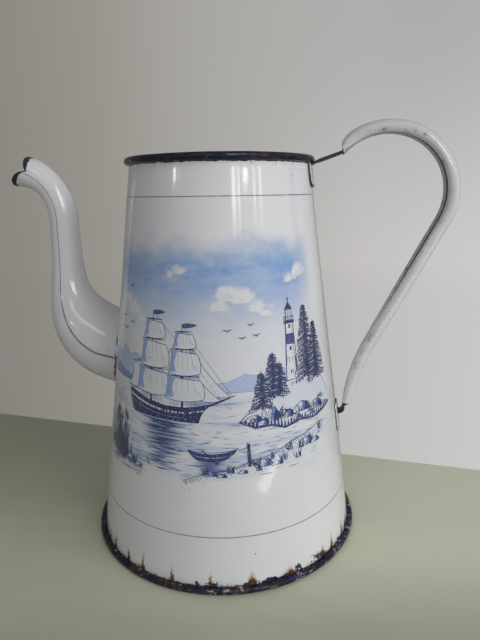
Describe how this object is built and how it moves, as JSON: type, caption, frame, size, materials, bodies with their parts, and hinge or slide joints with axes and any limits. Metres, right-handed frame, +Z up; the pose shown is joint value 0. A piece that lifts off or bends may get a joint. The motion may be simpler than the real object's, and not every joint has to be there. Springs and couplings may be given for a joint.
{
  "type": "coffee pot",
  "caption": "Tall tapered enamelled steel coffee pot with a swan-neck spout, a rolled strap handle on brackets, a wired rim and a clinched base; open mouth, no lid.",
  "frame": {"origin": "on the body's axis, on the surface that the pot stands on", "axes": "+Z up along the body's axis, +X towards the handle, the spout along -X"},
  "size_m": [0.2832, 0.1766, 0.2583],
  "materials": {
    "white_enamel": "gloss",
    "blue_enamel": "gloss",
    "bare_steel": "drawn wire"
  },
  "bodies": {
    "root": {"body_wall": "white_enamel", "rim_wire": "bare_steel", "base_pan": "blue_enamel", "spout_near_half": "white_enamel", "spout_far_half": "white_enamel", "handle_strap": "white_enamel", "handle_upper_bracket": "blue_enamel", "handle_lower_bracket": "blue_enamel"}
  },
  "joints": []
}
